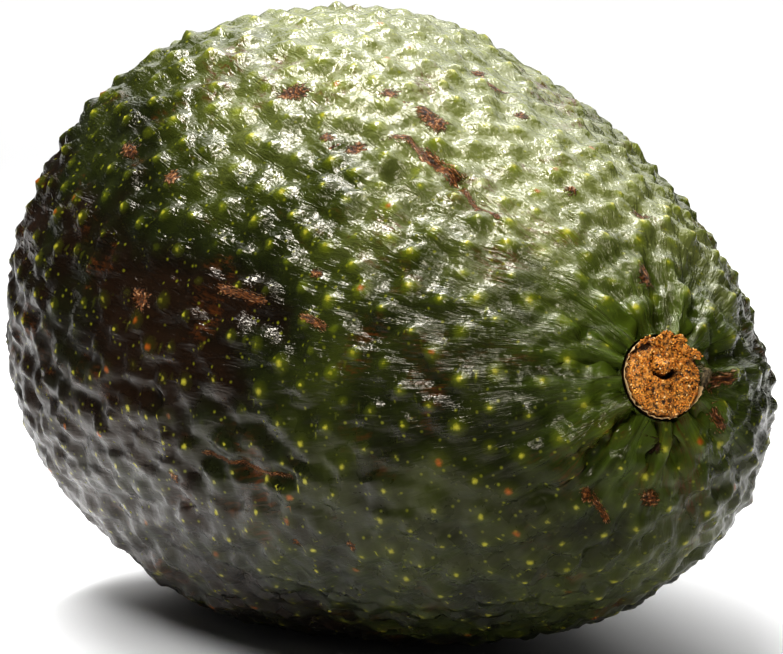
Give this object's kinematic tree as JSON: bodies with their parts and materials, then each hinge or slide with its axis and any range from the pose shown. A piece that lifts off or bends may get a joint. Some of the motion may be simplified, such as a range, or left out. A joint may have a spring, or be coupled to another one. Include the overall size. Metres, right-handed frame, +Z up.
{
  "type": "avocado",
  "caption": "Whole avocado with dark green pebbled skin and a corky stem button, lying on its side on a small flat spot.",
  "frame": {"origin": "middle of the flat spot that the fruit rests on", "axes": "+X along the fruit towards its stem end, +Y to one side, +Z up from the surface it rests on"},
  "size_m": [0.0976, 0.0737, 0.0661],
  "materials": {
    "skin": "waxy pebbled fruit skin, dark green with lighter dots and rust-brown corky marks, satin gloss",
    "stem_cork": "dry granular cork, orange-brown, matt"
  },
  "bodies": {
    "root": {"fruit": "skin", "stem_button": "stem_cork"}
  },
  "joints": []
}
